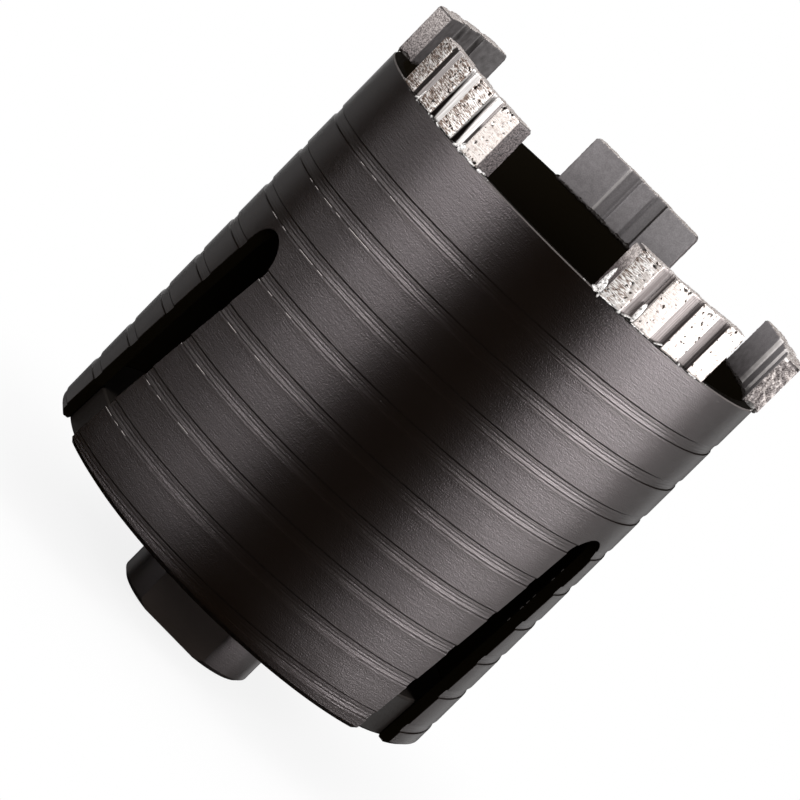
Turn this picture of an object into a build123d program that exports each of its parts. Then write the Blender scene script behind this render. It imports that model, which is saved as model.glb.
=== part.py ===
from build123d import *
import math
import os

os.makedirs("parts", exist_ok=True)

# A diamond core bit for drilling round holes in masonry. Its tube, plate, hub and segments are
# welded into one tool. It is modelled mouth up. The origin is the centre of the hub's end face,
# which seats on the drill's arbor, and +Z runs along the axis to the segments. Angles are
# degrees about +Z from +X.

# Hub: a turned boss with a thread, two wrench flats and a spigot that sits in the plate
hub_diameter = 27.0
hub_length = 13.6
flats_across = 23.0
flats_angle = -95.0
hub_chamfer = 0.8
thread_bore_diameter = 13.84
thread_lead_in = 1.2
spigot_diameter = 22.0

# Plate: a thick disc that closes the back of the tube
plate_thickness = 8.0
plate_chamfer = 0.4
plate_to_tube = 0.05
plate_to_spigot = 0.05

# Tube
barrel_diameter = 80.6
barrel_wall = 2.2
barrel_length = 77.5
back_chamfer = 0.8
mouth_chamfer = 0.2

# Helical band: a shallow right-hand groove that starts below the tube's back edge
band_pitch = 8.0
band_turns = 9.25
band_width = 1.9
band_depth = 0.2
band_start_drop = 3.5

# Slots: slanted, round at the front and open at the back of the tube
slot_count = 3
slot_width = 10.0
slot_reach = 46.9
slot_slant = 9.0
slot_first_angle = -30.0

# Diamond segments: pressed blocks with parallel ends, grooved on both faces. They stand out
# past both faces of the tube's wall, so that the tube runs clear in the hole it cuts.
segment_count = 5
outer_clearance = 0.7
inner_clearance = 0.3
segment_width = 24.0
segment_height = 9.7
segment_first_angle = -134.0
leading_round = 0.9
trailing_chamfer = 0.4
groove_step = 6.6
outer_groove_count = 3
outer_groove_width = 2.7
inner_groove_count = 2
inner_groove_width = 3.0
groove_depth = 0.9
groove_wall_angle = 70.0

# Room that a cutting shape runs past the surface it leaves
cut_margin = 1.0

# Radii and heights that follow from the sizes above
hub_radius = hub_diameter / 2
thread_bore_radius = thread_bore_diameter / 2
spigot_radius = spigot_diameter / 2
barrel_radius = barrel_diameter / 2
barrel_bore_radius = barrel_radius - barrel_wall
segment_outer_radius = barrel_radius + outer_clearance
segment_inner_radius = barrel_bore_radius - inner_clearance
barrel_back = hub_length
barrel_mouth = barrel_back + barrel_length
plate_front = barrel_back + plate_thickness


def turned_plane(angle, height=0.0):
    """A level plane on the axis whose local X points out at the given angle."""
    turn = math.radians(angle)
    return Plane(origin=(0, 0, height), x_dir=(math.cos(turn), math.sin(turn), 0), z_dir=(0, 0, 1))


def facing_plane(angle, height):
    """An upright plane on the axis that faces out at the given angle, with local Y up."""
    turn = math.radians(angle)
    outward = Vector(math.cos(turn), math.sin(turn), 0)
    return Plane(origin=(0, 0, height), x_dir=Vector(0, 0, 1).cross(outward), z_dir=outward)


# Hub
with BuildPart() as hub:
    with BuildSketch(Plane.XZ):
        with BuildLine():
            Polyline(
                (thread_bore_radius + thread_lead_in, 0),
                (hub_radius - hub_chamfer, 0),
                (hub_radius, hub_chamfer),
                (hub_radius, barrel_back),
                (spigot_radius, barrel_back),
                (spigot_radius, plate_front),
                (thread_bore_radius + thread_lead_in, plate_front),
                (thread_bore_radius, plate_front - thread_lead_in),
                (thread_bore_radius, thread_lead_in),
                close=True,
            )
        make_face()
    revolve(axis=Axis.Z)
    flat_waste = hub_radius - flats_across / 2 + cut_margin
    with BuildSketch(turned_plane(flats_angle)):
        with GridLocations(flats_across + flat_waste, 0, 2, 1):
            Rectangle(flat_waste, hub_diameter)
    extrude(amount=hub_length, mode=Mode.SUBTRACT)
hub.part.label = "hub"
export_step(hub.part, "parts/hub.step")

# Plate
with BuildPart() as back_plate:
    with BuildSketch(Plane.XY.offset(barrel_back)):
        Circle(barrel_bore_radius - plate_to_tube)
        Circle(spigot_radius + plate_to_spigot, mode=Mode.SUBTRACT)
    extrude(amount=plate_thickness)
    plate_rims = back_plate.edges().filter_by(GeomType.CIRCLE).sort_by(SortBy.RADIUS)[-2:]
    chamfer(plate_rims, length=plate_chamfer)
back_plate.part.label = "back_plate"
export_step(back_plate.part, "parts/back_plate.step")

# Tube with its helical band and slots
with BuildPart() as barrel:
    with BuildSketch(Plane.XZ):
        with BuildLine():
            Polyline(
                (barrel_bore_radius, barrel_back),
                (barrel_radius - back_chamfer, barrel_back),
                (barrel_radius, barrel_back + back_chamfer),
                (barrel_radius, barrel_mouth - mouth_chamfer),
                (barrel_radius - mouth_chamfer, barrel_mouth),
                (barrel_bore_radius, barrel_mouth),
                close=True,
            )
        make_face()
    revolve(axis=Axis.Z)

    # The band's tool runs on the tube's surface and cuts by its own depth
    with BuildLine() as band_path:
        Helix(
            pitch=band_pitch,
            height=band_pitch * band_turns,
            radius=barrel_radius,
            center=(0, 0, barrel_back - band_start_drop),
        )
    band_plane = Plane(origin=band_path.line @ 0, x_dir=(1, 0, 0), z_dir=band_path.line % 0)
    with BuildSketch(band_plane):
        with Locations(((cut_margin - band_depth) / 2, 0)):
            Rectangle(cut_margin + band_depth, band_width)
    sweep(path=band_path.line, is_frenet=True, mode=Mode.SUBTRACT)

    # Each slot's centre line crosses its plane's origin at half of the slot's reach
    half_reach = slot_reach / 2
    slot_top = half_reach - slot_width / 2
    slot_bottom = -half_reach - slot_width
    slot_middle = (slot_top + slot_bottom) / 2
    slot_lean = math.tan(math.radians(slot_slant))
    slot_run = (slot_top - slot_bottom) / math.cos(math.radians(slot_slant))
    for index in range(slot_count):
        slot_angle = slot_first_angle + index * 360 / slot_count
        with BuildSketch(facing_plane(slot_angle, barrel_back + half_reach)):
            with Locations((slot_middle * slot_lean, slot_middle)):
                SlotCenterToCenter(slot_run, slot_width, rotation=90 - slot_slant)
        extrude(amount=barrel_radius + cut_margin, mode=Mode.SUBTRACT)
barrel.part.label = "barrel"
export_step(barrel.part, "parts/barrel.step")

# Segments, each built where it stands on the mouth of the tube. The grooves' cutter starts
# outside the face, where it is wider by its flare.
groove_angle = math.degrees(groove_step / segment_outer_radius)
groove_flare = cut_margin / math.tan(math.radians(groove_wall_angle))
for index in range(segment_count):
    segment_angle = segment_first_angle + index * 360 / segment_count
    with BuildPart() as segment:
        with BuildSketch(turned_plane(segment_angle, barrel_mouth)):
            Circle(segment_outer_radius)
            Circle(segment_inner_radius, mode=Mode.SUBTRACT)
            with Locations((segment_outer_radius, 0)):
                Rectangle(segment_outer_radius, segment_width, mode=Mode.INTERSECT)
            for count, radius, width, side in (
                (outer_groove_count, segment_outer_radius, outer_groove_width, 1),
                (inner_groove_count, segment_inner_radius, inner_groove_width, -1),
            ):
                half_spread = groove_angle * (count - 1) / 2
                start = radius + side * cut_margin
                with PolarLocations(start, count, -half_spread, 2 * half_spread, endpoint=True):
                    Trapezoid(
                        width + 2 * groove_flare,
                        groove_depth + cut_margin,
                        groove_wall_angle,
                        rotation=side * 90,
                        align=(Align.CENTER, Align.MIN),
                        mode=Mode.SUBTRACT,
                    )
        extrude(amount=segment_height)
        along = turned_plane(segment_angle).y_dir
        tip_edges = segment.faces().sort_by(Axis.Z)[-1].edges().filter_by(GeomType.LINE)
        end_edges = tip_edges.sort_by(Axis((0, 0, 0), along))
        fillet(end_edges[0], radius=leading_round)
        chamfer(end_edges[-1], length=trailing_chamfer)
    segment.part.label = f"segment_{index + 1}"
    export_step(segment.part, f"parts/segment_{index + 1}.step")
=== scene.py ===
import math

import bmesh
import bpy
from mathutils import Matrix, Vector, noise


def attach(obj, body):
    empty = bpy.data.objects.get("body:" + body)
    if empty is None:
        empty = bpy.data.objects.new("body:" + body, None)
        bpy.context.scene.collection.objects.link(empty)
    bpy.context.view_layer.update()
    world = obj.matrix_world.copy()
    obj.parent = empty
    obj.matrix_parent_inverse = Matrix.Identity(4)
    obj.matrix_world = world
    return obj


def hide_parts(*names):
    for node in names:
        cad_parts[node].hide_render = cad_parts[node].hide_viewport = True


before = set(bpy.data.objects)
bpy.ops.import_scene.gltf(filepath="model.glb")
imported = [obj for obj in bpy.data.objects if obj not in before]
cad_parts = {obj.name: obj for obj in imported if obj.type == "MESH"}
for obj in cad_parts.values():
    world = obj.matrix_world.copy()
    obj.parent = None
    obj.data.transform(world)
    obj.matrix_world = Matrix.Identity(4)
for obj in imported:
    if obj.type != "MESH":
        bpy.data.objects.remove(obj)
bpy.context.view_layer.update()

# The camera
# It stands where the photograph was taken from, a little above the tool's mouth, and is rolled
# so that the tool leans up to the right. The principal point is the picture's centre.
mm = 0.001
photo_width_px = 800
focal_length_px = 4081.0
sensor_width = 36.0
nearest_seen = 0.01
farthest_seen = 50.0
camera_place = Vector((-24.9, -647.3, 161.8)) * mm
camera_forward = Vector((0.03687, 0.98512, -0.16783)).normalized()
tool_up_in_view = Vector((0.00836, 0.16805, 0.98574))
picture_roll = math.radians(45.0)

camera_data = bpy.data.cameras.new("camera")
camera_data.sensor_width = sensor_width
camera_data.lens = focal_length_px * sensor_width / photo_width_px
camera_data.clip_start = nearest_seen
camera_data.clip_end = farthest_seen
camera = bpy.data.objects.new("camera", camera_data)
bpy.context.collection.objects.link(camera)
tool_right_in_view = camera_forward.cross(tool_up_in_view).normalized()
tool_up_in_view = tool_right_in_view.cross(camera_forward)
picture_up = math.cos(picture_roll) * tool_up_in_view - math.sin(picture_roll) * tool_right_in_view
picture_right = camera_forward.cross(picture_up)
camera.matrix_world = Matrix.Translation(camera_place) @ Matrix(
    (picture_right, picture_up, -camera_forward)
).transposed().to_4x4()
bpy.context.scene.camera = camera
bpy.context.scene.view_settings.view_transform = "Standard"

# The studio
# A pale floor, a white backdrop and soft boxes to the left and right of the tool. The camera's side
# stays dark, so that the black tube has bright flanks and a dark middle. The farthest boxes reach
# below the floor's level, as light from a white table does.
white = (1.0, 1.0, 1.0, 1.0)
floor_radius = 3.0
floor_steps = 96
floor_drop = 0.1 * mm
floor_shade = (0.80, 0.80, 0.80, 1.0)
floor_roughness = 0.9
shadow_fade_start = 0.02
shadow_fade_end = 0.10
shadow_strength = 0.16
toward_backdrop = (-0.08, 0.997, 0.0)
backdrop_edge = 0.955
backdrop_full = 0.997
backdrop_in_gloss = 0.75
ambient_strength = 0.35
tool_middle = Vector((0.0, 0.0, 0.055))
camera_bearing = 2.2
# Name, bearing off the camera's side, angle above the tool's middle, distance, width, height, radiance
soft_boxes = (
    ("box_left_near", -46.0, 20.0, 0.36, 0.224, 0.136, 10.5),
    ("box_left_far", -84.0, 12.5, 0.9, 0.66, 0.34, 2.0),
    ("box_left_back", -141.0, -10.0, 3.0, 1.6, 1.13, 0.18),
    ("box_right_near", 56.0, 20.0, 0.36, 0.16, 0.136, 12.6),
    ("box_right", 84.0, 12.5, 0.9, 0.56, 0.34, 11.7),
    ("box_right_far", 114.0, -6.0, 3.0, 2.07, 1.13, 0.6),
    ("box_right_back", 152.0, -10.0, 3.0, 1.30, 1.13, 0.50),
)


def new_material(name):
    """A material with a Principled shader, as the material, its node tree and the shader."""
    material = bpy.data.materials.new(name)
    material.use_nodes = True
    tree = material.node_tree
    return material, tree, tree.nodes["Principled BSDF"]


def add_node(tree, kind, settings=(), **inputs):
    """A node with its settings. Each input is named, or numbered as _0, and takes a value or a link."""
    node = tree.nodes.new(kind)
    for setting, value in dict(settings).items():
        setattr(node, setting, value)
    for label, value in inputs.items():
        by_number = label[1:].isdigit()
        socket = node.inputs[int(label[1:])] if by_number else node.inputs[label.replace("_", " ")]
        if isinstance(value, bpy.types.NodeSocket):
            tree.links.new(value, socket)
        else:
            socket.default_value = value
    return node


def fade(tree, value, low, high, at_low=0.0, at_high=1.0, kind="LINEAR"):
    """A number that goes from at_low to at_high while the value goes from low to high."""
    return add_node(
        tree, "ShaderNodeMapRange", {"interpolation_type": kind},
        _0=value, _1=low, _2=high, _3=at_low, _4=at_high,
    ).outputs[0]


def maths(tree, operation, *values):
    """The result of a Math node on two or three values."""
    numbered = {f"_{number}": value for number, value in enumerate(values)}
    return add_node(tree, "ShaderNodeMath", {"operation": operation}, **numbered).outputs[0]


floor_mesh = bmesh.new()
bmesh.ops.create_circle(floor_mesh, cap_ends=True, segments=floor_steps, radius=floor_radius)
floor_data = bpy.data.meshes.new("floor")
floor_mesh.to_mesh(floor_data)
floor_mesh.free()
floor = bpy.data.objects.new("floor", floor_data)
bpy.context.collection.objects.link(floor)
floor.location.z = -floor_drop

# The camera sees the floor white, with a share of the tool's shadow near its foot
floor_material, floor_tree, floor_shader = new_material("pale_floor")
floor_shader.inputs["Base Color"].default_value = floor_shade
floor_shader.inputs["Roughness"].default_value = floor_roughness
floor_place = add_node(floor_tree, "ShaderNodeTexCoord")
floor_reach = add_node(
    floor_tree, "ShaderNodeVectorMath", {"operation": "LENGTH"}, _0=floor_place.outputs["Object"],
)
shadow_share = fade(
    floor_tree, floor_reach.outputs["Value"], shadow_fade_start, shadow_fade_end,
    shadow_strength, 0.0, "SMOOTHSTEP",
)
floor_ray = add_node(floor_tree, "ShaderNodeLightPath")
white_share = maths(
    floor_tree, "MULTIPLY", floor_ray.outputs["Is Camera Ray"],
    maths(floor_tree, "SUBTRACT", 1.0, shadow_share),
)
floor_white = add_node(floor_tree, "ShaderNodeEmission", Strength=1.0)
floor_top = add_node(
    floor_tree, "ShaderNodeMixShader", _0=white_share, _1=floor_shader.outputs[0], _2=floor_white.outputs[0],
)
# From below it is clear, so that the tool can be seen from there
floor_sides = add_node(floor_tree, "ShaderNodeNewGeometry")
floor_clear = add_node(floor_tree, "ShaderNodeBsdfTransparent")
floor_surface = add_node(
    floor_tree, "ShaderNodeMixShader", _0=floor_sides.outputs["Backfacing"], _1=floor_top.outputs[0],
    _2=floor_clear.outputs[0],
)
floor_tree.links.new(floor_surface.outputs[0], floor_tree.nodes["Material Output"].inputs["Surface"])
floor_data.materials.append(floor_material)
floor.visible_glossy = False
floor.visible_shadow = False

# The world is white to the camera, and to the reflections that look behind the tool
world = bpy.data.worlds.new("studio")
bpy.context.scene.world = world
world.use_nodes = True
sky = world.node_tree
backdrop = sky.nodes["Background"]
backdrop.inputs["Color"].default_value = white
sky_ray = add_node(sky, "ShaderNodeLightPath")
sky_place = add_node(sky, "ShaderNodeTexCoord")
how_far_back = add_node(
    sky, "ShaderNodeVectorMath", {"operation": "DOT_PRODUCT"},
    _0=sky_place.outputs["Generated"], _1=toward_backdrop,
)
behind = fade(
    sky, how_far_back.outputs["Value"], backdrop_edge, backdrop_full, 0.0, backdrop_in_gloss, "SMOOTHSTEP",
)
in_gloss = maths(sky, "MULTIPLY", sky_ray.outputs["Is Glossy Ray"], behind)
in_sight = maths(sky, "MAXIMUM", sky_ray.outputs["Is Camera Ray"], sky_ray.outputs["Is Transmission Ray"])
soft_light = maths(sky, "MULTIPLY", sky_ray.outputs["Is Diffuse Ray"], ambient_strength)
sky_strength = maths(sky, "MAXIMUM", maths(sky, "MAXIMUM", in_sight, in_gloss), soft_light)
sky.links.new(sky_strength, backdrop.inputs["Strength"])

for name, bearing, elevation, distance, width, height, radiance in soft_boxes:
    lamp = bpy.data.lights.new(name, "AREA")
    lamp.shape = "RECTANGLE"
    lamp.size = width
    lamp.size_y = height
    lamp.energy = radiance * math.pi * width * height
    box = bpy.data.objects.new(name, lamp)
    bpy.context.collection.objects.link(box)
    turn = math.radians(bearing - camera_bearing)
    rise = math.radians(elevation)
    out = Vector((math.sin(turn) * math.cos(rise), -math.cos(turn) * math.cos(rise), math.sin(rise)))
    box.matrix_world = (
        Matrix.Translation(tool_middle + out * distance) @ out.to_track_quat("Z", "Y").to_matrix().to_4x4()
    )
    box.visible_camera = False


# The hub
# A turned steel boss with two flats for a wrench. The drill's arbor screws into its thread, and
# its spigot is welded into the plate. It is blackened like the rest.
hub_radius = 13.5 * mm
hub_chamfer = 0.8 * mm
hub_shoulder = 13.6 * mm
hub_front = 21.6 * mm
spigot_radius = 11.0 * mm
pilot_radius = 0.05 * mm
flat_from_axis = 11.5 * mm
flats_angle = math.radians(-95.0)
hub_round_steps = 96
hub_edge = 0.15 * mm
hub_edge_steps = 2
hub_ridge_angle = math.radians(20)
hub_sharp_angle = math.radians(25.0)
thread_pitch = 2.0 * mm
thread_turns = 15
thread_minor = 6.92 * mm
thread_major = 8.0 * mm
thread_steps = 72
thread_overrun = 1.0 * mm
# Height within one pitch, and share of the thread's depth
thread_profile = ((0.0, 0.0), (0.5, 0.0), (1.12, 1.0), (1.38, 1.0), (2.0, 0.0))
# A cone that opens the thread at both ends, and how far it stands out of the steel
funnel_wide = 8.65 * mm
funnel_narrow = 6.62 * mm
funnel_overrun = 0.5 * mm
black_roughness = 0.331
black_tint = (1.0, 0.89, 0.91, 1.0)
black_index = 1.9
black_stretch_turn = 0.25
turning_marks_scale = (400.0, 400.0, 5000.0)
black_grain_scale = 4800.0
black_grain_share = 0.6
hub_colour = (0.0040, 0.0022, 0.0010, 1.0)
hub_stretch = 0.7
# The flats are painted lighter than the round: painted light where the tube's overhang shades them
lit_flat_colour = (0.030, 0.0225, 0.0180, 1.0)
flat_stretch = 0.3
hub_marks = 0.03 * mm
cut_tolerance = 1e-8
ring_merge = 1e-7
point_merge = 1e-6
facing_alike = 0.9999


def only(kind, parts):
    """Those parts of a bmesh operator's result that are of one kind."""
    return [part for part in parts if isinstance(part, kind)]


def slice_off(mesh, point, normal, keep_inner=True):
    """Cuts the mesh along a plane, drops the outer or the inner side, and returns the cut's edges."""
    cut = bmesh.ops.bisect_plane(
        mesh, geom=mesh.verts[:] + mesh.edges[:] + mesh.faces[:], dist=cut_tolerance, plane_co=point,
        plane_no=normal, clear_outer=keep_inner, clear_inner=not keep_inner,
    )["geom_cut"]
    return only(bmesh.types.BMEdge, cut)


def finish_piece(name, mesh, material, body="root", sharp_angle=30.0):
    """The bmesh becomes an object with smooth faces and sharp edges, and rides on its body."""
    data = bpy.data.meshes.new(name)
    mesh.to_mesh(data)
    mesh.free()
    if material:
        data.materials.append(material)
    data.shade_smooth()
    data.set_sharp_from_angle(angle=math.radians(sharp_angle))
    piece = bpy.data.objects.new(name, data)
    bpy.context.collection.objects.link(piece)
    if body:
        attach(piece, body)
    return piece


def cut_away(piece, tool):
    """Takes the closed tool out of the closed piece, and removes the tool."""
    cut = piece.modifiers.new("cut", "BOOLEAN")
    cut.operation = "DIFFERENCE"
    cut.solver = "EXACT"
    cut.object = tool
    left = bpy.data.meshes.new_from_object(piece.evaluated_get(bpy.context.evaluated_depsgraph_get()))
    left.name = piece.name
    piece.modifiers.clear()
    piece.data = left
    bpy.data.objects.remove(tool)


def turned_ring(mesh, profile, steps):
    """A closed ring from a closed profile of (radius, height) points, spun about the axis."""
    points = [mesh.verts.new((radius, 0.0, height)) for radius, height in profile]
    edges = [mesh.edges.new(pair) for pair in zip(points, points[1:] + points[:1])]
    bmesh.ops.spin(
        mesh, geom=points + edges, cent=(0, 0, 0), axis=(0, 0, 1), angle=2 * math.pi, steps=steps,
        use_merge=True,
    )
    bmesh.ops.remove_doubles(mesh, verts=mesh.verts, dist=ring_merge)
    bmesh.ops.recalc_face_normals(mesh, faces=mesh.faces)


def helical_skin(mesh, profile, pitch, steps, turns):
    """An open profile of (radius, height) points, swept up a helix for a number of turns."""
    chain = [mesh.verts.new((radius, 0.0, height)) for radius, height in profile]
    chain += [mesh.edges.new(pair) for pair in zip(chain, chain[1:])]
    bmesh.ops.spin(
        mesh, geom=chain, cent=(0, 0, 0), axis=(0, 0, 1), dvec=(0, 0, pitch / steps), angle=2 * math.pi,
        steps=steps, use_merge=False, use_duplicate=False,
    )
    one_turn = mesh.verts[:] + mesh.edges[:] + mesh.faces[:]
    for turn in range(1, turns):
        lifted = only(bmesh.types.BMVert, bmesh.ops.duplicate(mesh, geom=one_turn)["geom"])
        bmesh.ops.translate(mesh, verts=lifted, vec=(0, 0, turn * pitch))
    bmesh.ops.remove_doubles(mesh, verts=mesh.verts, dist=point_merge)


def blackened(name, colour, stretch, marks):
    """Blackened turned steel, with fine marks round the axis and a fine grain."""
    material, tree, shader = new_material(name)
    shader.inputs["Base Color"].default_value = colour
    shader.inputs["Roughness"].default_value = black_roughness
    shader.inputs["Anisotropic"].default_value = stretch
    shader.inputs["Anisotropic Rotation"].default_value = black_stretch_turn
    shader.inputs["Specular Tint"].default_value = black_tint
    shader.inputs["IOR"].default_value = black_index
    place = add_node(tree, "ShaderNodeTexCoord").outputs["Object"]
    rings = add_node(tree, "ShaderNodeMapping", _0=place, Scale=turning_marks_scale)
    turning = add_node(tree, "ShaderNodeTexNoise", Vector=rings.outputs[0], Scale=1.0, Detail=1.0)
    grain = add_node(tree, "ShaderNodeTexNoise", Vector=place, Scale=black_grain_scale, Detail=1.0)
    skin = add_node(
        tree, "ShaderNodeMix", {"data_type": "FLOAT"}, _0=black_grain_share, _2=turning.outputs["Fac"],
        _3=grain.outputs["Fac"],
    )
    bump = add_node(tree, "ShaderNodeBump", Height=skin.outputs[0], Strength=1.0, Distance=marks)
    tree.links.new(bump.outputs[0], shader.inputs["Normal"])
    return material


hub_steel = blackened("hub_steel", hub_colour, hub_stretch, hub_marks)
flat_steel = blackened("hub_flat_steel", lit_flat_colour, flat_stretch, hub_marks)
boss = bmesh.new()
turned_ring(boss, (
    (pilot_radius, 0.0), (hub_radius - hub_chamfer, 0.0), (hub_radius, hub_chamfer),
    (hub_radius, hub_shoulder), (spigot_radius, hub_shoulder), (spigot_radius, hub_front),
    (pilot_radius, hub_front),
), hub_round_steps)
for side in (1.0, -1.0):
    flat_normal = side * Vector((math.cos(flats_angle), math.sin(flats_angle), 0.0))
    flat_rim = slice_off(boss, flat_normal * flat_from_axis, flat_normal)
    bmesh.ops.contextual_create(boss, geom=flat_rim)
    boss.normal_update()
    for face in boss.faces:
        reach = face.calc_center_median().dot(flat_normal)
        if abs(face.normal.dot(flat_normal)) > facing_alike and reach > flat_from_axis - point_merge:
            face.material_index = 1
bmesh.ops.recalc_face_normals(boss, faces=boss.faces)
ridges = [
    edge for edge in boss.edges
    if len(edge.link_faces) == 2 and edge.calc_face_angle() > hub_ridge_angle
    and all(math.hypot(v.co.x, v.co.y) > spigot_radius for v in edge.verts)
]
bmesh.ops.bevel(
    boss, geom=ridges, offset=hub_edge, segments=hub_edge_steps, profile=0.5, affect="EDGES", material=-1,
    clamp_overlap=True,
)
hub = finish_piece("hub_boss", boss, hub_steel)
hub.data.materials.append(flat_steel)

# A tap the size of the thread is taken out of the boss, and then a funnel at each end
tap = bmesh.new()
helical_skin(
    tap, [
        (thread_minor + share * (thread_major - thread_minor), height * mm - 2 * thread_pitch)
        for height, share in thread_profile
    ], thread_pitch, thread_steps, thread_turns,
)
slice_off(tap, (0, 0, -thread_overrun), (0, 0, -1))
slice_off(tap, (0, 0, hub_front + thread_overrun), (0, 0, 1))
bmesh.ops.holes_fill(tap, edges=[e for e in tap.edges if e.is_boundary])
bmesh.ops.recalc_face_normals(tap, faces=tap.faces)
cut_away(hub, finish_piece("tap_tool", tap, None, body=None))
funnel_depth = funnel_wide - funnel_narrow
for end, side, half_turn in ((-funnel_overrun, -1, 0.0), (hub_front + funnel_overrun, 1, math.pi)):
    funnel = bmesh.new()
    bmesh.ops.create_cone(
        funnel, cap_ends=True, segments=thread_steps, radius1=funnel_wide, radius2=funnel_narrow,
        depth=funnel_depth,
        matrix=Matrix.Translation((0, 0, end - side * funnel_depth / 2)) @ Matrix.Rotation(half_turn, 4, "X"),
    )
    cut_away(hub, finish_piece("funnel_tool", funnel, None, body=None))
hub.data.set_sharp_from_angle(angle=hub_sharp_angle)
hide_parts("hub")


# The plate
# A thick turned steel disc that closes the back of the tube. It is welded to the tube and the
# hub, and its rim shows through the slots.
plate_radius = 38.05 * mm
plate_hole = 11.05 * mm
plate_back = hub_shoulder
plate_front = hub_front
plate_edge = 0.4 * mm
plate_steps = 144
plate_roughness = 0.5
plate_index = 1.38
plate_marks_scale = 3000.0
plate_grain_scale = 1800.0
plate_marks = 0.03 * mm
shaded_rim_colour = (0.0045, 0.0028, 0.0020, 1.0)
plate_face_colour = (0.014, 0.011, 0.009, 1.0)


def blend_colours(tree, share, first, second):
    """A colour between two, each one a value or a node's output."""
    return add_node(tree, "ShaderNodeMix", {"data_type": "RGBA"}, _0=share, _6=first, _7=second).outputs[2]


disc = bmesh.new()
turned_ring(disc, (
    (plate_hole, plate_back), (plate_radius - plate_edge, plate_back),
    (plate_radius, plate_back + plate_edge), (plate_radius, plate_front - plate_edge),
    (plate_radius - plate_edge, plate_front), (plate_hole, plate_front),
), plate_steps)
plate_steel, plate_tree, plate_shader = new_material("plate_steel")
plate_shader.inputs["Roughness"].default_value = plate_roughness
plate_shader.inputs["IOR"].default_value = plate_index
plate_place = add_node(plate_tree, "ShaderNodeTexCoord").outputs["Object"]
plate_xyz = add_node(plate_tree, "ShaderNodeSeparateXYZ", _0=plate_place)
plate_flat = add_node(plate_tree, "ShaderNodeCombineXYZ", _0=plate_xyz.outputs[0], _1=plate_xyz.outputs[1])
plate_reach = add_node(
    plate_tree, "ShaderNodeVectorMath", {"operation": "LENGTH"}, _0=plate_flat.outputs[0],
).outputs["Value"]
plate_rings = add_node(
    plate_tree, "ShaderNodeTexNoise", {"noise_dimensions": "1D"}, W=plate_reach, Scale=plate_marks_scale,
)
plate_grain = add_node(plate_tree, "ShaderNodeTexNoise", Vector=plate_place, Scale=plate_grain_scale)
plate_skin = maths(plate_tree, "ADD", plate_rings.outputs["Fac"], plate_grain.outputs["Fac"])
# The rim is painted darker than the face: painted shade from the slot walls
on_face = fade(plate_tree, plate_reach, plate_radius - plate_edge, plate_radius, 1.0, 0.0)
plate_colour = blend_colours(plate_tree, on_face, shaded_rim_colour, plate_face_colour)
plate_tree.links.new(plate_colour, plate_shader.inputs["Base Color"])
plate_bump = add_node(plate_tree, "ShaderNodeBump", Height=plate_skin, Distance=plate_marks)
plate_tree.links.new(plate_bump.outputs[0], plate_shader.inputs["Normal"])
plate = finish_piece("back_disc", disc, plate_steel)
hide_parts("back_plate")


# The barrel
# A steel tube, blackened and turned, with a shallow right-hand helical band that carries dust
# out of the hole. Three slanted slots open its back edge, where the plate is welded in.
barrel_radius = 40.3 * mm
barrel_bore = 38.1 * mm
barrel_back = plate_back
barrel_mouth = 91.1 * mm
back_chamfer = 0.8 * mm
mouth_chamfer = 0.2 * mm
bore_chamfer = 0.3 * mm
skin_depth = 0.5 * mm
barrel_sharp_angle = math.radians(4.0)
band_pitch = 8.0 * mm
band_edge_at_start = 11.14 * mm
band_middle_drop = 1.0 * mm
band_end_turns = 9.25
band_steps = 180
band_fade_turns = 0.08
band_lead_turns = 2
band_spare_turns = 5
# Distance below the band's upper edge, and depth under the tube's face
band_profile = (
    (-0.34, 0.0), (-0.11, 0.0), (0.17, 0.20), (0.58, 0.20), (0.80, 0.222), (1.09, 0.201), (1.31, 0.222),
    (1.79, 0.182), (1.97, 0.0), (2.06, -0.005), (2.25, -0.016), (2.56, 0.0), (3.8, 0.0), (5.7, 0.0),
    (7.66, 0.0),
)
# Where the band's lip gets its painted glints
glint_lip_drop = 2.015 * mm
glint_lip_width = 0.06 * mm
glint_lip_top = 82.0 * mm
glint_side_degrees = -138.0
glint_side_reach = 16.0
glint_patch_scale = 1.1
glint_patch_level = 0.16
slot_count = 3
slot_half_width = 5.0 * mm
slot_reach = 46.9 * mm
slot_slant = math.radians(9.0)
slot_first_angle = math.radians(-30.0)
slot_edge = 0.15 * mm
slot_flare = 0.07 * mm
slot_arc_steps = 16
slot_side_steps = 78
# Radius of each ring of the slot's cutter, and how much wider than the slot it is on each side
slot_levels = (
    (barrel_bore - 4.0 * mm, slot_edge + 0.1 * mm), (barrel_bore - 0.1 * mm, slot_edge + 0.1 * mm),
    (barrel_bore + slot_edge, 0.0), (barrel_radius - 0.1 * mm, 0.0),
    (barrel_radius + 0.02 * mm, slot_flare), (barrel_radius + 3.0 * mm, slot_flare),
)
slot_inner_level = 2
slot_outer_level = 4
burr_glints_low = 41.0
burr_glints_high = 57.0
burr_glint_scale = 1.3
burr_glint_level = 0.1
bore_colour = (0.0034, 0.0022, 0.0006, 1.0)
soot_index = 1.1
edge_colour = (0.13, 0.115, 0.11, 1.0)
# Bare metal, painted light as glints on the band's lip and on the slot's burrs
bare_glint_colour = (0.42, 0.385, 0.37, 1.0)
tube_colour = (0.0030, 0.0014, 0.0004, 1.0)
tube_stretch = 0.70
tube_marks = 0.052 * mm
back_roughness = 0.265
back_smooth_below = 14.5 * mm
back_smooth_end = 21.0 * mm


def open_loop(mesh, height):
    """The open edges that lie at that height."""
    return [
        edge for edge in mesh.edges
        if edge.is_boundary and all(abs(v.co.z - height) < ring_merge for v in edge.verts)
    ]


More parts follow.
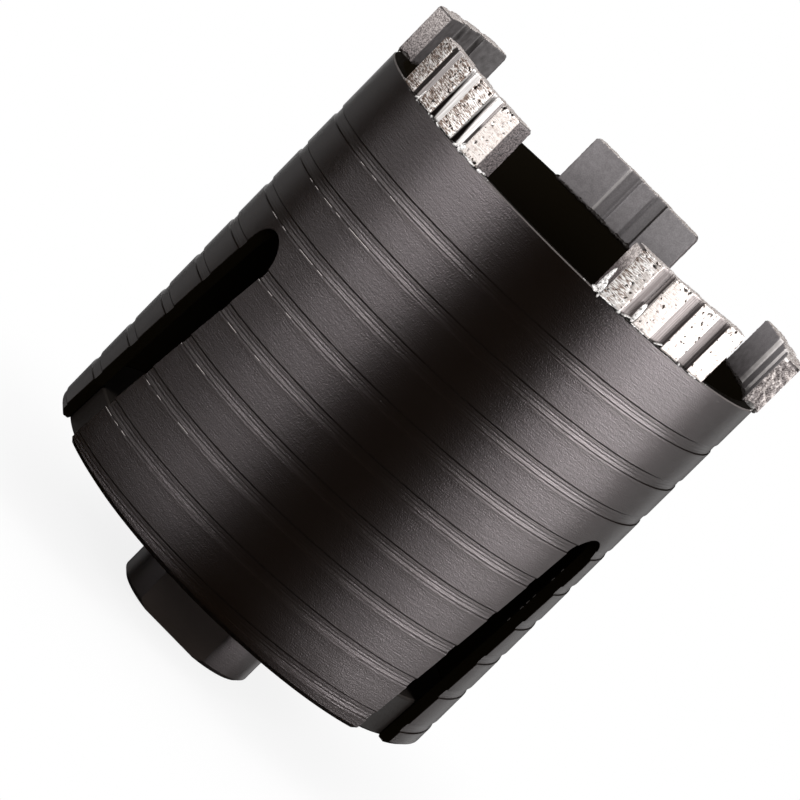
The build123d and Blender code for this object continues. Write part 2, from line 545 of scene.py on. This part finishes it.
def draw_in(mesh, edges, radius_change, height):
    """Extrudes a ring of edges to a new height, with each point moved along its own radius."""
    grown = bmesh.ops.extrude_edge_only(mesh, edges=edges)["geom"]
    for v in only(bmesh.types.BMVert, grown):
        reach = math.hypot(v.co.x, v.co.y)
        scale = (reach + radius_change) / reach
        v.co = (v.co.x * scale, v.co.y * scale, height)


def even_finish(name, colour, roughness, metallic=0.0):
    """A material for small places that have one even colour."""
    material, _, shader = new_material(name)
    shader.inputs["Base Color"].default_value = colour
    shader.inputs["Roughness"].default_value = roughness
    shader.inputs["Metallic"].default_value = metallic
    return material


tube = bmesh.new()
band_turns = math.ceil((barrel_mouth - band_edge_at_start) / band_pitch) + band_spare_turns
band_start = band_edge_at_start - band_lead_turns * band_pitch
helical_skin(
    tube, [(barrel_radius - depth * mm, band_start - drop * mm) for drop, depth in band_profile],
    band_pitch, band_steps, band_turns,
)
# The band fades out behind, near the mouth
for v in tube.verts:
    angle = math.atan2(v.co.y, v.co.x) % (2 * math.pi)
    rise = (v.co.z + band_middle_drop - band_edge_at_start) / band_pitch
    turn = math.floor(rise - angle / (2 * math.pi) + 0.5) + angle / (2 * math.pi)
    keep = min(1.0, max(0.0, (band_end_turns - turn) / band_fade_turns))
    reach = math.hypot(v.co.x, v.co.y)
    scale = (barrel_radius + (reach - barrel_radius) * keep) / reach
    v.co.x *= scale
    v.co.y *= scale
slice_off(tube, (0, 0, barrel_back + back_chamfer), (0, 0, 1), keep_inner=False)
slice_off(tube, (0, 0, barrel_mouth - mouth_chamfer), (0, 0, 1))
draw_in(tube, open_loop(tube, barrel_back + back_chamfer), -back_chamfer, barrel_back)
draw_in(tube, open_loop(tube, barrel_mouth - mouth_chamfer), -mouth_chamfer, barrel_mouth)
bore = [
    tube.verts.new((barrel_bore + bore_chamfer, 0, barrel_back)),
    tube.verts.new((barrel_bore, 0, barrel_back + bore_chamfer)),
    tube.verts.new((barrel_bore, 0, (barrel_back + barrel_mouth) / 2)),
    tube.verts.new((barrel_bore, 0, barrel_mouth - bore_chamfer / 2)),
    tube.verts.new((barrel_bore + bore_chamfer / 2, 0, barrel_mouth)),
]
bore += [tube.edges.new(pair) for pair in zip(bore, bore[1:])]
bmesh.ops.spin(
    tube, geom=bore, cent=(0, 0, 0), axis=(0, 0, 1), angle=2 * math.pi, steps=band_steps, use_merge=True,
)
for height in (barrel_back, barrel_mouth):
    bmesh.ops.bridge_loops(tube, edges=open_loop(tube, height))

# Sooty inside, bare on the mouth's edge, and bare in places on one side of the band's lip, painted light
# there as glints
for face in tube.faces:
    middle = face.calc_center_median()
    if math.hypot(middle.x, middle.y) < barrel_radius - skin_depth:
        face.material_index = 1
    elif middle.z > barrel_mouth - mouth_chamfer:
        face.material_index = 2
    else:
        angle = math.atan2(middle.y, middle.x)
        drop = (band_edge_at_start + band_pitch * angle / (2 * math.pi) - middle.z) % band_pitch
        on_lip = abs(drop - glint_lip_drop) < glint_lip_width / 2 and middle.z < glint_lip_top
        on_glint_side = abs(math.degrees(angle) - glint_side_degrees) < glint_side_reach
        if on_glint_side and on_lip and noise.noise(middle / mm * glint_patch_scale) > glint_patch_level:
            face.material_index = 3
bmesh.ops.recalc_face_normals(tube, faces=tube.faces)

soot = even_finish("bore_black", bore_colour, roughness=0.7)
soot.node_tree.nodes["Principled BSDF"].inputs["IOR"].default_value = soot_index
bare = even_finish("bare_edge", edge_colour, roughness=0.45, metallic=0.3)
bare_glints_finish = even_finish("bare_glints", bare_glint_colour, roughness=0.4, metallic=0.5)
steel = blackened("black_steel", tube_colour, tube_stretch, tube_marks)
steel_place = add_node(steel.node_tree, "ShaderNodeTexCoord")
steel_xyz = add_node(steel.node_tree, "ShaderNodeSeparateXYZ", _0=steel_place.outputs["Object"])
# The tube is a little smoother at its back edge
smooth_back = fade(
    steel.node_tree, steel_xyz.outputs[2], back_smooth_below, back_smooth_end,
    back_roughness, black_roughness,
)
steel.node_tree.links.new(smooth_back, steel.node_tree.nodes["Principled BSDF"].inputs["Roughness"])
barrel = finish_piece("barrel_tube", tube, steel)

# One cutter for the three slots, each swept outwards from the bore
cutter = bmesh.new()
for index in range(slot_count):
    turn = slot_first_angle + index * 2 * math.pi / slot_count
    outward = Vector((math.cos(turn), math.sin(turn), 0.0))
    sideways = Vector((-math.sin(turn), math.cos(turn), 0.0))
    lean = Vector((math.tan(slot_slant), 1.0, 0.0))
    top = (slot_reach / 2 - slot_half_width) * lean
    bottom = (-slot_reach / 2 - 2 * slot_half_width) * lean
    rim = [cutter.verts.new((0, 0, 0)) for _ in range(slot_arc_steps + 1 + 2 * slot_side_steps)]
    along = lean.normalized()
    across = Vector((along.y, -along.x, 0.0))
    outline = []
    for step in range(slot_side_steps):
        outline.append((bottom.lerp(top, step / slot_side_steps), across))
    for step in range(slot_arc_steps + 1):
        bend = math.pi * step / slot_arc_steps
        outline.append((top, math.cos(bend) * across + math.sin(bend) * along))
    for step in range(slot_side_steps):
        outline.append((top.lerp(bottom, (step + 1) / slot_side_steps), -across))
    ring_edges = [cutter.edges.new((a, b)) for a, b in zip(rim, rim[1:] + rim[:1])]
    rings = [rim]
    for level in range(1, len(slot_levels)):
        grown = bmesh.ops.extrude_edge_only(cutter, edges=ring_edges)["geom"]
        sides = only(bmesh.types.BMFace, grown)
        for face in sides:
            face.material_index = 0 if level == slot_outer_level else 1
        if level == slot_inner_level:
            inner_edge = sides
        ring_edges = only(bmesh.types.BMEdge, grown)
        rings.append(only(bmesh.types.BMVert, grown))
    for (radius, spread), ring in zip(slot_levels, rings):
        for v, (middle, normal) in zip(ring, outline):
            flat = middle + normal * (slot_half_width + spread)
            depth = math.sqrt(radius ** 2 - flat.x ** 2)
            v.co = outward * depth + sideways * flat.x + Vector((0, 0, barrel_back + slot_reach / 2 + flat.y))
    # Small burrs are left bare on the first slot's inner edge, and painted light as glints
    for face in inner_edge:
        middle = face.calc_center_median()
        on_right = middle.dot(sideways) > (middle.z - barrel_back - slot_reach / 2) * math.tan(slot_slant)
        height = middle.z / mm
        in_burr_glints = index == 0 and on_right and burr_glints_low < height < burr_glints_high
        if in_burr_glints and noise.noise((0.0, 0.0, height * burr_glint_scale)) > burr_glint_level:
            face.material_index = 3
bmesh.ops.holes_fill(cutter, edges=[e for e in cutter.edges if e.is_boundary])
bmesh.ops.recalc_face_normals(cutter, faces=cutter.faces)
slot_tool = finish_piece("slot_tool", cutter, steel, body=None)
for finish in (soot, bare, bare_glints_finish):
    barrel.data.materials.append(finish)
    slot_tool.data.materials.append(finish)
cut_away(barrel, slot_tool)
barrel.data.set_sharp_from_angle(angle=barrel_sharp_angle)
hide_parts("barrel")


# The segments
# Sintered blocks of metal powder and diamond grit, laser-welded to the tube's mouth. They are
# ground outside, and grooved on both faces so that slurry can pass.
segment_count = 5
first_segment_degrees = -134.0
between_segments_degrees = 72.0
grain_step = 0.17 * mm
fine_relief = 0.03 * mm
# Heights above the hub's end, distances from the axis and places along a segment, in millimetres
segment_foot = barrel_mouth / mm
segment_height = 9.7
segment_tip = segment_foot + segment_height
top_from = 100.72
worn_tip_from = 99.6
torn_from = 98.6
end_from = 11.93
land_from = 40.88
groove_from = 38.8
inside_to = 38.75
inside_face = 37.92
groove_pitch = 6.6
groove_width = 2.7
groove_shift = groove_width / 2
land_width = groove_pitch - groove_width
groove_floor = 40.15
groove_brim = 40.95
middle_groove_from = -3.0
right_groove_from = 3.0
last_groove_from = 3.3
shaded_wall_foot = 40.2
shaded_wall_top = 40.6
# Share of brown on each land from left to right, for each segment
land_brown = (
    (1.0, 1.0, 0.85, 0.25), (0.55, 0.25, 0.15, 0.30), (0.4, 0.4, 0.4, 0.4), (0.4, 0.4, 0.4, 0.4),
    (0.4, 0.4, 0.4, 0.4),
)
land_bounds = (-groove_pitch, 0.0, groove_pitch)
# Waves per millimetre of the faces' unevenness, and how far it stands out in millimetres
fine_waves = 3.4
coarse_waves = 1.1
pit_waves_on_land = 1.9
seed_step = 40.0
skin_unevenness = 0.006
pit_depth = 0.6
end_unevenness = 0.04
cracked_end_unevenness = 0.12
top_fine_unevenness = 0.09
top_coarse_unevenness = 0.05
tip_unevenness = 0.04
painted_shade_tone = (0.012, 0.008, 0.007, 1.0)
pit_shade_tone = (0.03, 0.02, 0.015, 1.0)
land_dark = (0.032, 0.020, 0.015, 1.0)
land_middle = (0.28, 0.20, 0.16, 1.0)
land_bright = (0.95, 0.92, 0.90, 1.0)
land_fleck = (0.95, 0.90, 0.86, 1.0)
land_pale = (0.40, 0.34, 0.31, 1.0)
# Waves per metre of the patterns, across and along the axis where they are drawn out
streak_waves = (900.0, 900.0, 6400.0)
line_waves = (4200.0, 4200.0, 120.0)
fleck_waves = (1500.0, 1500.0, 4600.0)
speckle_waves = 4200.0
pit_waves = 1500.0
mottle_waves = 1900.0
brown_hides_streaks = -0.28
speckle_relief = 0.4
ground_metal = 0.82
dull_metal = 0.15
groove_roughness = 0.52
land_roughness = 0.44
# A darker and a lighter tone, mixed by the grain or by the lines along the grooves
groove_tones = ((0.24, 0.208, 0.203, 1.0), (0.37, 0.333, 0.327, 1.0))
lit_groove_tones = ((0.60, 0.56, 0.54, 1.0), (0.95, 0.93, 0.92, 1.0))
inside_tones = ((0.170, 0.156, 0.160, 1.0), (0.222, 0.206, 0.210, 1.0))
inside_highlight = (0.85, 0.80, 0.78, 1.0)
end_tones = ((0.006, 0.003, 0.003, 1.0), (0.132, 0.106, 0.106, 1.0))
end_bright_tones = ((0.19, 0.155, 0.147, 1.0), (0.68, 0.62, 0.59, 1.0))
top_tones = ((0.36, 0.28, 0.25, 1.0), (1.0, 0.95, 0.92, 1.0))


def segment_turn(index):
    """The angle about the tool's axis at which a segment's middle stands."""
    return math.radians(first_segment_degrees + between_segments_degrees * index)


def stretched_noise(tree, place, scales, **look):
    """Noise that is drawn out along the axis or across it."""
    stretched = add_node(tree, "ShaderNodeMapping", _0=place, Scale=scales)
    return add_node(tree, "ShaderNodeTexNoise", Vector=stretched.outputs[0], Scale=1.0, **look).outputs["Fac"]


def even_noise(tree, place, scale, detail):
    """Noise that is alike in all directions."""
    return add_node(tree, "ShaderNodeTexNoise", Vector=place, Scale=scale, Detail=detail).outputs["Fac"]


# Painted attributes say what face each point lies on, how brown it is, how black with painted shade and how
# light with painted light
diamond, tree, diamond_shader = new_material("diamond_segment")
place = add_node(tree, "ShaderNodeTexCoord").outputs["Object"]
kinds = add_node(tree, "ShaderNodeAttribute", {"attribute_name": "face_kind"})
kind = add_node(tree, "ShaderNodeSeparateColor", _0=kinds.outputs["Color"])
land_share, inside_share, end_share = kind.outputs
top_share = kinds.outputs["Alpha"]
tone_and_shade_attribute = add_node(tree, "ShaderNodeAttribute", {"attribute_name": "face_tone_and_shade"})
tone_and_shade = add_node(tree, "ShaderNodeSeparateColor", _0=tone_and_shade_attribute.outputs["Color"])
brown_share, painted_shade_share, light_share = tone_and_shade.outputs

streaks = stretched_noise(tree, place, streak_waves, Detail=4.0, Distortion=0.4)
line = fade(tree, stretched_noise(tree, place, line_waves, Detail=1.0), 0.36, 0.64)
speckle = even_noise(tree, place, speckle_waves, 2.0)
speck = fade(tree, speckle, 0.36, 0.64)
# Dark spots on the lands stand for pits, painted dark as the shade in them
in_pit_shade = fade(tree, even_noise(tree, place, pit_waves, 1.0), 0.67, 0.70)
browned = maths(tree, "MULTIPLY_ADD", brown_share, brown_hides_streaks, streaks)
mid_streak = fade(tree, browned, 0.02, 0.24)
bright_streak = fade(tree, browned, 0.22, 0.37)
fleck = fade(tree, stretched_noise(tree, place, fleck_waves, Detail=1.0), 0.60, 0.68, 0.0, 0.9)
mottle = fade(tree, even_noise(tree, place, mottle_waves, 3.0), 0.54, 0.68, 0.68, 1.0)
pale_land = maths(tree, "MULTIPLY", fade(tree, brown_share, 0.32, 0.55, 1.0, 0.0), mottle)

ground = blend_colours(tree, mid_streak, land_dark, land_middle)
ground = blend_colours(tree, bright_streak, ground, land_bright)
ground = blend_colours(tree, fleck, ground, land_fleck)
ground = blend_colours(tree, pale_land, ground, land_pale)
ground = blend_colours(tree, in_pit_shade, ground, pit_shade_tone)
groove = blend_colours(tree, line, *groove_tones)
# The first segment's grooves take a lit copy of their tones: painted light
groove = blend_colours(tree, light_share, groove, blend_colours(tree, line, *lit_groove_tones))
inside = blend_colours(tree, speck, *inside_tones)
# Painted highlight on the inner groove walls
inside = blend_colours(tree, light_share, inside, inside_highlight)
end_face = blend_colours(tree, speck, *end_tones)
# Lighter end tones: painted light toward the top of two ends, and bright streaks on a third
end_face = blend_colours(tree, light_share, end_face, blend_colours(tree, speck, *end_bright_tones))
surface = blend_colours(tree, land_share, groove, ground)
surface = blend_colours(tree, inside_share, surface, inside)
surface = blend_colours(tree, end_share, surface, end_face)
surface = blend_colours(tree, top_share, surface, blend_colours(tree, speck, *top_tones))
# Painted shade darkens pits, groove walls and inner faces
surface = blend_colours(tree, painted_shade_share, surface, painted_shade_tone)
tree.links.new(surface, diamond_shader.inputs["Base Color"])
not_ground = maths(tree, "ADD", maths(tree, "ADD", inside_share, end_share), top_share)
metal = fade(tree, not_ground, 0.0, 1.0, ground_metal, dull_metal)
tree.links.new(metal, diamond_shader.inputs["Metallic"])
roughness = fade(tree, land_share, 0.0, 1.0, groove_roughness, land_roughness)
tree.links.new(roughness, diamond_shader.inputs["Roughness"])
land_relief = maths(tree, "MULTIPLY", streaks, land_share)
relief = maths(tree, "MULTIPLY_ADD", speckle, speckle_relief, land_relief)
diamond_bump = add_node(tree, "ShaderNodeBump", Height=relief, Distance=fine_relief)
tree.links.new(diamond_bump.outputs[0], diamond_shader.inputs["Normal"])


def regrained(name, mesh, step):
    """The closed bmesh as an even skin of small faces, as a bmesh again."""
    data = bpy.data.meshes.new(name)
    mesh.to_mesh(data)
    mesh.free()
    lump = bpy.data.objects.new(name, data)
    bpy.context.collection.objects.link(lump)
    skin = lump.modifiers.new("skin", "REMESH")
    skin.mode = "VOXEL"
    skin.voxel_size = step
    even = bpy.data.meshes.new_from_object(lump.evaluated_get(bpy.context.evaluated_depsgraph_get()))
    bpy.data.objects.remove(lump)
    grained = bmesh.new()
    grained.from_mesh(even)
    bpy.data.meshes.remove(even)
    return grained


def ramp(low, high, value):
    """Rises from 0 to 1 between two values."""
    return min(1.0, max(0.0, (value - low) / (high - low)))


def brown_on_land(index, along, coarse):
    """How brown a land is at a point, with more of it toward its left side."""
    brown = land_brown[index][sum(along > bound for bound in land_bounds)]
    from_left = (along + groove_shift) % groove_pitch - groove_width
    if brown > 0.3:
        brown += 0.5 * coarse + 0.25 - 0.5 * from_left / land_width
    return max(0.0, min(1.0, brown))


def pit_on_land(index, along, p, seed):
    """How deep a pit is at a point of a land, and how dark its painted shade is. The second segment has the
    fewest.
    """
    whole = index == 1 and along > -groove_pitch
    level, torn, pit_shade = (0.60, 0.36, 0.8) if whole else (0.50, 0.30, 1.0)
    grain = noise.noise(p * pit_waves_on_land + seed * 2)
    pit = max(0.0, grain - level + torn * ramp(torn_from, segment_tip, p.z))
    return pit, pit_shade * ramp(0.02, 0.09, pit)


def shade_and_light_in_groove(index, along, out, rise, facing):
    """How black and how light an outer groove is at a point, as painted shade on its walls. The first
    segment's are painted lit, with painted shadow in bars.
    """
    if index > 0:
        black = 0.8 * ramp(shaded_wall_foot, shaded_wall_top, out) * (1.0 if facing < 0.0 else 0.6)
        if index == 1 and along > last_groove_from:
            black = max(black, 0.42)
        return black, 0.0
    across_groove = (along + groove_shift) % groove_pitch / groove_width
    down_wall = 0.45 * ramp(groove_brim, groove_floor, out) + max(0.0, across_groove - 0.12)
    if along <= middle_groove_from:
        return 0.88 * ramp(0.50, 0.42, down_wall), 0.25
    if along > right_groove_from and across_groove > 0.56:
        return 0.9 * ramp(0.55, 0.45, rise), 0.1
    return ramp(0.06, -0.04, abs(down_wall - 0.28) - 0.27 * (0.98 - rise)), 0.9


def shade_and_light_inside(index, along, out, rise, facing, coarse):
    """How black and how light the inner face and its grooves are at a point, as painted shade and painted
    highlight.
    """
    if out > inside_face and index not in (2, 4):
        if along > 0.0:
            return 0.3, 0.45 * ramp(0.15, 0.45, -facing)
        return 0.75 * ramp(0.15, 0.45, facing) + 0.35, 0.0
    foot_shade, foot_reach = (0.85, 1.0) if index == 2 else (0.25, 0.6)
    all_over_shade = 0.82 if index == 4 else 0.0
    black = max(0.85 * ramp(0.05, 0.0, rise), foot_shade * ramp(foot_reach, 0.0, rise), all_over_shade)
    black += 0.15 * coarse + (0.06 + 0.06 * rise if index == 3 else 0.0)
    if out <= inside_face:
        return black, 0.0
    return black, ramp(0.15, 0.45, -facing) if index == 2 else 0.3 * ramp(0.15, 0.45, facing)


def light_on_end(index, along, out, p, rise, coarse):
    """How light a segment's end is at a point: painted light toward the top on two ends, and bright streaks
    on a third.
    """
    if index == 1 and along < 0.0:
        return ramp(0.45, 0.95, rise) * (1.0 + coarse)
    if index == 2 and along < 0.0:
        crack = noise.noise(Vector((out * 1.1 + p.z * 0.6, p.z * 0.7, 9.0)))
        return 0.20 + 0.9 * ramp(0.16, 0.0, abs(crack))
    if index == 4 and along > 0.0:
        return 0.10 + 0.42 * rise
    return 0.0


for index in range(segment_count):
    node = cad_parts[f"segment_{index + 1}"]
    block = bmesh.new()
    block.from_mesh(node.data)
    bmesh.ops.remove_doubles(block, verts=block.verts, dist=point_merge)
    turn = segment_turn(index)
    across = Vector((-math.sin(turn), math.cos(turn), 0.0))
    block = regrained(f"grained_{index + 1}", block, grain_step)
    block.normal_update()
    face_kind = block.verts.layers.float_color.new("face_kind")
    face_tone_and_shade = block.verts.layers.float_color.new("face_tone_and_shade")
    seed = Vector((0.0, 0.0, seed_step * index))
    moves = []
    for v in block.verts:
        p = v.co / mm
        out = math.hypot(p.x, p.y)
        along = p.dot(across)
        facing = v.normal.dot(across)
        rise = (p.z - segment_foot) / segment_height
        fine = noise.noise(p * fine_waves + seed)
        coarse = noise.noise(p * coarse_waves + seed)
        near_top = ramp(worn_tip_from, segment_tip, p.z)
        on_end = abs(along) > end_from
        on_top = p.z > top_from
        on_land = out > land_from and not on_end and not on_top
        on_inside = out < inside_to and not on_end and not on_top
        in_groove = groove_from < out <= land_from and not on_end and not on_top
        brown, black, light = 0.0, 0.0, 0.0
        push = skin_unevenness * fine
        if on_land:
            brown = brown_on_land(index, along, coarse)
            pit, black = pit_on_land(index, along, p, seed)
            push -= pit_depth * pit
        elif in_groove:
            black, light = shade_and_light_in_groove(index, along, out, rise, facing)
        elif on_inside:
            black, light = shade_and_light_inside(index, along, out, rise, facing, coarse)
        elif on_end:
            light = light_on_end(index, along, out, p, rise, coarse)
            push = (cracked_end_unevenness if index == 2 else end_unevenness) * (fine + coarse)
        if on_top:
            push = top_fine_unevenness * fine + top_coarse_unevenness * coarse
        elif near_top > 0.0:
            push += near_top * tip_unevenness * fine
        v[face_kind] = (float(on_land), float(on_inside), float(on_end), float(on_top))
        v[face_tone_and_shade] = (brown, black, max(0.0, min(1.0, light)), 1.0)
        moves.append(push * mm)
    for v, push in zip(block.verts, moves):
        v.co += v.normal * push
    segment = finish_piece(f"segment_block_{index + 1}", block, diamond)
    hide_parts(node.name)


# The welds
# Beads of melted metal that join the segments to the tube, inside and outside. They are sooty,
# and bright where the metal splashed into the grooves and up one end. The outer beads' soot also
# stands as a painted shadow under the segments' overhang.
weld_sections = 10
weld_steps = 150
weld_half_angle = math.radians(17.4)
# Radius and height of each bead's middle, its thickness and how bright it is
weld_rows = ((40.45, 91.0, 0.22, 1.0), (38.0, 91.1, 0.34, 0.0))
# A bead's thickness over its middle value, and how far long and short waves change it
bead_swell = 0.75
long_swell = 0.9
long_waves = 0.9
short_swell = 0.5
short_waves = 2.4
least_swell = 0.25
# The first segments' beads are bright where they swell, and the others keep a small share
bright_beads = 2
dull_bead_share = 0.1
# Segment, place along it, radius, height above the foot, half sizes along, out and up, lean, brightness
splashes = (
    (1, -12.05, 39.4, 1.9, 0.35, 0.65, 2.8, -0.05, 0.9), (1, -12.4, 39.7, 0.0, 0.65, 0.8, 0.50, 0.0, 0.9),
    (1, -12.05, 40.5, 0.9, 0.32, 0.45, 1.6, 0.22, 0.9), (1, -5.50, 40.70, 1.9, 0.42, 0.42, 1.85, 0.04, 0.9),
    (1, -6.4, 40.5, 0.30, 1.0, 0.4, 0.16, 0.30, 0.9), (1, 0.7, 40.5, 0.35, 0.9, 0.4, 0.14, 0.45, 0.9),
    (1, -10.0, 40.75, 0.0, 2.2, 0.3, 0.10, 0.0, 0.9), (1, -3.3, 40.75, 0.0, 2.0, 0.3, 0.10, 0.0, 0.9),
    (0, 7.75, 40.65, 0.5, 0.70, 0.4, 0.95, -0.6, 0.9), (0, 6.7, 40.65, 0.1, 0.9, 0.4, 0.28, 0.35, 0.9),
    (0, -5.5, 40.85, 0.8, 0.16, 0.25, 1.2, -0.1, 0.9), (0, -6.2, 40.6, 0.1, 0.6, 0.4, 0.22, 0.35, 0.9),
    (0, 10.0, 40.8, 0.0, 1.9, 0.35, 0.22, 0.0, 0.9), (0, 12.2, 40.3, 0.0, 0.4, 0.5, 0.30, 0.0, 0.9),
    (0, 12.1, 39.2, 0.0, 0.3, 0.6, 0.25, 0.0, 0.9),
    (4, 11.6, 40.3, -0.1, 0.9, 0.45, 0.55, 0.0, 0.0), (4, 12.3, 39.2, 0.1, 0.4, 0.9, 0.5, 0.0, 0.0),
    (2, -11.6, 40.4, 0.0, 0.8, 0.4, 0.5, 0.0, 0.05), (2, -12.2, 39.4, 0.2, 0.4, 0.9, 0.55, 0.0, 0.1),
    (3, 11.9, 38.6, 0.0, 0.8, 0.8, 0.5, 0.0, 0.0),
)
splash_roundness = 4
splatter_count = 36
splatter_seed = 7
splatter_radius = 40.2 * mm
splatter_height = 91.05 * mm
splatter_glow = 0.6
splatter_roundness = 2
# Dark soot, which also stands as a painted shadow under the segments' overhang
weld_soot_and_shadow = (0.014, 0.010, 0.008, 1.0)
weld_light = (0.95, 0.92, 0.90, 1.0)
weld_grain_scale = 2400.0
weld_relief = 0.04 * mm
weld_metallic = 0.35
weld_roughness = 0.5
weld_sharp_degrees = 60.0

noise.seed_set(splatter_seed)
melt = bmesh.new()
glow = melt.verts.layers.float_color.new("splash")
for index in range(segment_count):
    for radius, height, thickness, bright in weld_rows:
        bead = bmesh.new()
        ring = bmesh.ops.create_circle(
            bead, cap_ends=False, segments=weld_sections, radius=thickness * mm,
            matrix=Matrix.Rotation(segment_turn(index) - weld_half_angle, 4, "Z")
            @ Matrix.Translation((radius * mm, 0.0, height * mm)) @ Matrix.Rotation(math.pi / 2, 4, "X"),
        )["verts"]
        bmesh.ops.spin(
            bead, geom=ring + bead.edges[:], cent=(0, 0, 0), axis=(0, 0, 1), angle=2 * weld_half_angle,
            steps=weld_steps, use_duplicate=False, use_merge=False,
        )
        bmesh.ops.holes_fill(bead, edges=[e for e in bead.edges if e.is_boundary])
        bmesh.ops.recalc_face_normals(bead, faces=bead.faces)
        bead_glow = bead.verts.layers.float_color.new("splash")
        for v in bead.verts:
            turn = math.atan2(v.co.y, v.co.x)
            spine = Vector((math.cos(turn) * radius, math.sin(turn) * radius, height))
            swell = bead_swell + long_swell * noise.noise(spine * long_waves)
            swell += short_swell * noise.noise(v.co / mm * short_waves)
            v.co = (spine + (v.co / mm - spine) * max(least_swell, swell)) * mm
            lit = bright * ramp(1.0, 1.3, swell) if index < bright_beads else dull_bead_share * bright
            v[bead_glow] = (lit, lit, lit, 1.0)
        lump = bpy.data.meshes.new("bead")
        bead.to_mesh(lump)
        bead.free()
        melt.from_mesh(lump)
        bpy.data.meshes.remove(lump)
for index, along, radius, height, half_along, half_out, half_up, lean, bright in splashes:
    place_on_segment = Vector((math.sqrt(radius ** 2 - along ** 2), along, segment_foot + height)) * mm
    blob = bmesh.ops.create_icosphere(
        melt, subdivisions=splash_roundness, radius=mm,
        matrix=Matrix.Rotation(segment_turn(index), 4, "Z") @ Matrix.Translation(place_on_segment)
        @ Matrix.Rotation(lean, 4, "X") @ Matrix.Diagonal((half_out, half_along, half_up, 1.0)),
    )["verts"]
    for v in blob:
        v.co += v.normal * mm * (0.07 * noise.noise(v.co / mm * 1.3) + 0.05 * noise.noise(v.co / mm * 3.6))
        v[glow] = (bright, bright, bright, 1.0)
for number in range(splatter_count):
    spot = noise.random_vector()
    side = 1 if spot.y > 0 else -1
    turn = segment_turn(number % segment_count) + weld_half_angle * (1.0 + 0.25 * abs(spot.x)) * side
    drop_size = (0.05 + 0.07 * abs(spot.z)) * mm
    drop_place = Matrix.Rotation(turn, 4, "Z") @ Matrix.Translation((splatter_radius, 0.0, splatter_height))
    droplet = bmesh.ops.create_icosphere(
        melt, subdivisions=splatter_roundness, radius=drop_size, matrix=drop_place,
    )["verts"]
    for v in droplet:
        v[glow] = (splatter_glow, splatter_glow, splatter_glow, 1.0)
bmesh.ops.recalc_face_normals(melt, faces=melt.faces)

weld_metal, weld_tree, weld_shader = new_material("weld_metal")
weld_place = add_node(weld_tree, "ShaderNodeTexCoord")
weld_glow = add_node(weld_tree, "ShaderNodeAttribute", {"attribute_name": "splash"})
weld_grain = even_noise(weld_tree, weld_place.outputs["Object"], weld_grain_scale, 2.0)
weld_bright = fade(weld_tree, weld_grain, 0.36, 0.52, 0.25)
weld_share = maths(weld_tree, "MULTIPLY", weld_glow.outputs["Fac"], weld_bright)
weld_colour = blend_colours(weld_tree, weld_share, weld_soot_and_shadow, weld_light)
weld_tree.links.new(weld_colour, weld_shader.inputs["Base Color"])
weld_shader.inputs["Metallic"].default_value = weld_metallic
weld_shader.inputs["Roughness"].default_value = weld_roughness
weld_bump = add_node(weld_tree, "ShaderNodeBump", Height=weld_grain, Distance=weld_relief)
weld_tree.links.new(weld_bump.outputs[0], weld_shader.inputs["Normal"])
welds = finish_piece("segment_welds", melt, weld_metal, sharp_angle=weld_sharp_degrees)
